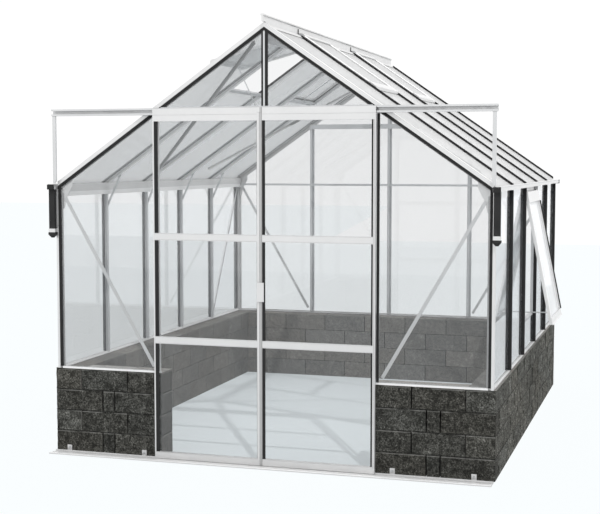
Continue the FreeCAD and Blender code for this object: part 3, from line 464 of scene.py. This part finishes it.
# outward and inward direction of each wall, and a tone for its outer face that paints in the light and shade falling
# on that side: the right wall paler, the front wall darker
FACES = {"wall_front": ((0, -1, 0), 1.36), "wall_right": ((1, 0, 0), 2.5),
         "wall_left": ((-1, 0, 0), 1.6), "wall_rear": ((0, 1, 0), 1.6)}
INSIDE_TONE, PLAIN_TONE, JAMB_TONE, BED, CAP_TONE = 4.05, 1.7, 2.55, 0.0004, 8.0


def block_mesh(x0, x1, y0, y1, z0, z1, seed, step, face, jamb):
    r = 0.0030
    # the dry bed joints stand a little open
    lo, hi = np.array([x0, y0, z0 + BED]), np.array([x1, y1, z1 - BED])
    gl = [lines(lo[i], hi[i], step, r) for i in range(3)]
    verts, faces, key = [], [], {}

    def vid(i, j, k):
        q = (i, j, k)
        if q not in key:
            key[q] = len(verts)
            verts.append((gl[0][i], gl[1][j], gl[2][k]))
        return key[q]

    n = [len(g) - 1 for g in gl]
    for ax in range(3):
        u, w = [(1, 2), (2, 0), (0, 1)][ax]
        for side in (0, n[ax]):
            for a in range(n[u]):
                for b in range(n[w]):
                    q = []
                    for da, db in ((0, 0), (1, 0), (1, 1), (0, 1)):
                        idx = [0, 0, 0]
                        idx[ax], idx[u], idx[w] = side, a + da, b + db
                        q.append(vid(*idx))
                    faces.append(q if side else q[::-1])
    v = np.array(verts)
    core = np.clip(v, lo + r, hi - r)
    d = v - core
    ln = np.linalg.norm(d, axis=1)
    nrm = d / np.maximum(ln, 1e-9)[:, None]
    v = core + nrm * r
    # broken stone: broad facets, ridges and grit, cut inward only
    p = v + seed * 0.37
    facet = vnoise(p / 0.090, seed)
    ridge = np.abs(2 * vnoise(p / 0.042, seed + 7) - 1)
    chip = vnoise(p / 0.021, seed + 11)
    grit = vnoise(p / 0.011, seed + 13)
    low = 0.20 * facet + 0.26 * (1 - ridge) + 0.30 * chip + 0.24 * grit
    # arrises are knocked back further than the open face
    gap = np.sort(np.minimum(v - lo, hi - v), axis=1)[:, 1]
    worn = np.clip(1 - gap / 0.014, 0, 1) ** 1.5
    depth = 0.0125 * low * (1 - 0.72 * worn) + 0.0020 * worn * chip
    # top and bottom beds stay flat so that the courses meet; the inner faces are sawn smoother and paler
    out = nrm @ np.array(face[0], dtype=float)
    end = np.clip(nrm @ np.array(jamb, dtype=float), 0, 1) ** 2
    inner = np.clip(-out, 0, 1) ** 2
    # the top faces of the top course are made much paler, the front wall's more than the others
    cap = np.clip(nrm[:, 2], 0, 1) ** 2 if z1 > 0.55 else np.zeros(len(v))
    sawn = np.clip(inner + end + cap, 0, 1)
    side_w = np.clip(1.2 - 1.15 * np.abs(nrm[:, 2]), 0.0, 1.0) * (1 - 0.80 * sawn)
    # painted light and shade: each outer face takes its wall's tone from FACES
    shade = PLAIN_TONE + (face[1] - PLAIN_TONE) * np.clip(out, 0, 1) ** 2 \
        + (INSIDE_TONE - PLAIN_TONE) * inner + (JAMB_TONE - PLAIN_TONE) * end \
        + (CAP_TONE * (1.0 if face[0][1] < 0 else 0.55) - PLAIN_TONE) * cap
    joint = np.clip(1.2 - gap / 0.0038, 0, 1) * (0.55 + 0.6 * chip)
    # painted light: the inner faces are lightened next to the joints, against the shade gathering in the gaps
    shade = shade * (1 + 1.1 * joint * inner)
    v = v - nrm * (depth * side_w)[:, None]
    # relief: 1 on the ridges, 0 deep in the hollows; the material darkens the hollows with it, partly as painted shade
    relief = np.clip(1.35 - 1.75 * low, 0, 1)
    # painted highlight: the upper arris under each bed joint is made paler, standing in for the light it catches
    below = hi[2] - v[:, 2]
    arris = np.clip(1 - np.abs(below - 0.0082) / 0.0052, 0, 1) * np.clip(1.25 - np.abs(nrm[:, 2]), 0, 1)
    arris = arris * np.clip(2.6 * facet - 0.70, 0, 1) * (1 - 0.8 * inner) * (1 - cap)
    return v, faces, relief, arris, shade, sawn, joint


def build_walls():
    rng = np.random.default_rng(11)
    groups = {}
    for n, (wall, *b) in enumerate(block_list()):
        step = {"wall_front": 0.0075, "wall_right": 0.0095}.get(wall, 0.0125)
        jamb = (0, 0, 0)
        if wall == "wall_front" and min(abs(b[0]), abs(b[1])) < JAMB + 0.01:
            jamb = (-1, 0, 0) if b[0] > 0 else (1, 0, 0)
        v, f, relief, arris, shade, sawn, joint = block_mesh(*b, n + 1, step, FACES[wall], jamb)
        tone = rng.uniform(0.90, 1.12) * shade
        warm = rng.uniform(-0.02, 0.02)
        g = groups.setdefault(wall, ([], [], [], []))
        base = sum(len(a) for a in g[0])
        g[0].append(v)
        g[1].extend([[i + base for i in q] for q in f])
        c = np.ones((len(v), 4))
        c[:, 0] = tone * (1 + warm)
        c[:, 1] = tone
        c[:, 2] = tone * (1 - warm)
        g[2].append(c)
        h = np.ones((len(v), 4))
        h[:, 0] = relief
        h[:, 1] = arris
        h[:, 2] = sawn
        h[:, 3] = joint
        g[3].append(h)
    # packing in the heart of each wall, so that no daylight shows through the upright joints
    m, c0, c1 = 0.030, 0.070, WT - 0.070
    hearts = [("wall_left", -HX + c0, -HX + c1, -HY + m, HY - m), ("wall_right", HX - c1, HX - c0, -HY + m, HY - m),
              ("wall_rear", -HX + m, HX - m, HY - c1, HY - c0),
              ("wall_front", -HX + m, -JAMB - m, -HY + c0, -HY + c1), ("wall_front", JAMB + m, HX - m, -HY + c0, -HY + c1)]
    for wall, x0, x1, y0, y1 in hearts:
        g = groups[wall]
        base = sum(len(a) for a in g[0])
        g[0].append(np.array([(x, y + Y_OFF, z) for z in (0.002, 0.556) for x, y in ((x0, y0), (x1, y0), (x1, y1), (x0, y1))]))
        g[1].extend([[i + base for i in q] for q in ((3, 2, 1, 0), (4, 5, 6, 7), (0, 1, 5, 4), (1, 2, 6, 5), (2, 3, 7, 6),
                                                     (3, 0, 4, 7))])
        g[2].append(np.array([(0.8, 0.8, 0.8, 1.0)] * 8))
        g[3].append(np.zeros((8, 4)))
    for wall, (vs, fs, cs, hs) in groups.items():
        ob = piece_from(wall + "_blocks", np.concatenate(vs), fs, MATS["concrete"], "frame",
                        wall, smooth=True)
        for layer, data in (("tone", cs), ("relief", hs)):
            att = ob.data.color_attributes.new(layer, "FLOAT_COLOR", "POINT")
            att.data.foreach_set("color", np.clip(np.concatenate(data), 0, 12).astype(np.float32).ravel())


build_walls()

# ---------------------------------------------------------------------------
# Black draught strip along the rear edge of the side window, a rounded bead on
# a flat foot, drawn for the shut window and turned out with it.
# ---------------------------------------------------------------------------
def build_window_strip():
    prof = [(-0.0050, 0.0), (-0.0050, 0.0022), (-0.0034, 0.0030), (-0.0030, 0.0060), (-0.0012, 0.0082),
            (0.0012, 0.0082), (0.0030, 0.0060), (0.0034, 0.0030), (0.0050, 0.0022), (0.0050, 0.0)]
    hx, hz, turn = 1.470, 1.724, math.radians(11.5)
    y_mid, x_face = Y_OFF + 0.3240, 1.4781
    zs = np.concatenate([[0.8170, 0.8182], np.linspace(0.83, 1.636, 42), [1.6478, 1.6490]])
    verts, faces = [], []
    for i, z in enumerate(zs):
        k = 0.82 if i in (0, len(zs) - 1) else 1.0
        for u, o in prof:
            dx, dz = x_face + o * k - hx, z - hz
            # opening turns the lower edge outwards
            verts.append((hx + dx * math.cos(turn) - dz * math.sin(turn), y_mid + u * k,
                          hz + dx * math.sin(turn) + dz * math.cos(turn)))
    m = len(prof)
    for i in range(len(zs) - 1):
        for j in range(m):
            a, b = i * m + j, i * m + (j + 1) % m
            faces.append((a, b, b + m, a + m))
    faces.append(tuple(range(m))[::-1])
    faces.append(tuple(range((len(zs) - 1) * m, len(zs) * m)))
    piece_from("window_draught_strip", verts, faces, MATS["rubber"], "window")


build_window_strip()

# ---------------------------------------------------------------------------
# Floor, light, camera.
# ---------------------------------------------------------------------------
def make_floor(name, outline, z, albedo, glow, cast, seen, given):
    """Plain pale floor, evenly lit, that carries only faint shadows."""
    t = Tree(name)
    v = t.coords()
    n = t.noise(v, 0.8, 3.0)
    col = t.ramp(n, [(0.3, tuple(0.985 * albedo * c for c in cast)), (0.7, tuple(1.015 * albedo * c for c in cast))])
    p = t.principled(col, 0.9, 0.0, None, 0.0)
    # looks a little brighter than the light it throws back on the building
    ray = t.add("ShaderNodeLightPath")
    t.link(t.mix(ray.outputs["Is Camera Ray"], given, seen), p.inputs["Emission Color"])
    p.inputs["Emission Strength"].default_value = glow
    me = bpy.data.meshes.new(name)
    me.from_pydata([(x, y, z) for x, y in outline], [], [tuple(range(len(outline)))])
    me.materials.append(t.mat)
    ob = bpy.data.objects.new(name, me)
    coll.objects.link(ob)


make_floor("studio_floor", [(-60.0, -13.6), (21.0, -13.6), (21.0, 22.8), (-6.0, 22.8), (-10.0, 47.0), (-60.0, 47.0)],
           -0.0005, 0.03, 1.0, (0.45, 0.52, 0.55), (0.935, 0.965, 0.975), (0.78, 0.80, 0.81))
# painted shade: inside the walls a darker, cooler glowing patch of floor, which also takes the shadows
make_floor("inner_floor_painted_shade", [(-1.36, 0.15), (1.36, 0.15), (1.36, 3.50), (-1.36, 3.50)],
           0.0008, 0.42, 0.335, (0.915, 0.975, 1.0), (0.915, 0.975, 1.0), (0.915, 0.975, 1.0))

world = bpy.data.worlds.new("studio")
scene.world = world
world.use_nodes = True
wn = world.node_tree
wn.nodes.clear()
w_out = wn.nodes.new("ShaderNodeOutputWorld")
tcw = wn.nodes.new("ShaderNodeTexCoord")
sepw = wn.nodes.new("ShaderNodeSeparateXYZ")
wn.links.new(tcw.outputs["Generated"], sepw.inputs[0])
# soft dome: brightest overhead, paler in front than behind
up_r = wn.nodes.new("ShaderNodeMapRange")
for k, val in (("From Min", -0.1), ("From Max", 0.9), ("To Min", 1.16), ("To Max", 1.15)):
    up_r.inputs[k].default_value = val
wn.links.new(sepw.outputs["Z"], up_r.inputs["Value"])
fr_r = wn.nodes.new("ShaderNodeMapRange")
for k, val in (("From Min", -1.0), ("From Max", 1.0), ("To Min", 1.02), ("To Max", 1.04)):
    fr_r.inputs[k].default_value = val
wn.links.new(sepw.outputs["Y"], fr_r.inputs["Value"])
mulw = wn.nodes.new("ShaderNodeMath")
mulw.operation = "MULTIPLY"
wn.links.new(up_r.outputs[0], mulw.inputs[0])
wn.links.new(fr_r.outputs[0], mulw.inputs[1])
dome = wn.nodes.new("ShaderNodeBackground")
dome.inputs["Color"].default_value = (1.0, 1.0, 1.0, 1.0)
wn.links.new(mulw.outputs[0], dome.inputs["Strength"])
back = wn.nodes.new("ShaderNodeBackground")
back.inputs["Color"].default_value = (1.0, 1.0, 1.0, 1.0)
back.inputs["Strength"].default_value = 1.03
lp = wn.nodes.new("ShaderNodeLightPath")
mixw = wn.nodes.new("ShaderNodeMixShader")
wn.links.new(lp.outputs["Is Camera Ray"], mixw.inputs[0])
wn.links.new(dome.outputs[0], mixw.inputs[1])
wn.links.new(back.outputs[0], mixw.inputs[2])
wn.links.new(mixw.outputs[0], w_out.inputs["Surface"])


def sun(name, toward, strength, angle):
    li = bpy.data.lights.new(name, "SUN")
    li.energy = strength
    li.angle = math.radians(angle)
    ob = bpy.data.objects.new(name, li)
    ob.rotation_euler = Vector(toward).to_track_quat("-Z", "Y").to_euler()
    coll.objects.link(ob)
    return ob


sun("key_soft", (-0.385, 0.69, -1.0), 2.1, 1.2)

cam = bpy.data.cameras.new("camera")
cam.sensor_fit = "HORIZONTAL"
cam.sensor_width = 36.0
cam.lens = 1251.1 / 600.0 * 36.0
cam.clip_end = 200.0
cob = bpy.data.objects.new("camera", cam)
yaw, pitch, roll = math.radians(17.065), math.radians(4.306), math.radians(0.018)
fwd = Vector((-math.sin(yaw) * math.cos(pitch), math.cos(yaw) * math.cos(pitch), -math.sin(pitch)))
right = Vector((math.cos(yaw), math.sin(yaw), 0.0))
up = right.cross(fwd)
r2 = right * math.cos(roll) + up * math.sin(roll)
u2 = up * math.cos(roll) - right * math.sin(roll)
rot = Matrix((r2, u2, -fwd)).transposed()
cob.matrix_world = Matrix.Translation((2.5382, -7.4414, 1.934)) @ rot.to_4x4()
coll.objects.link(cob)
scene.camera = cob

scene.view_settings.view_transform = "Standard"
scene.view_settings.look = "None"
scene.view_settings.exposure = 0.0
scene.view_settings.gamma = 1.0
scene.cycles.transparent_max_bounces = 40
scene.cycles.max_bounces = 14
scene.cycles.caustics_reflective = False
scene.cycles.caustics_refractive = False
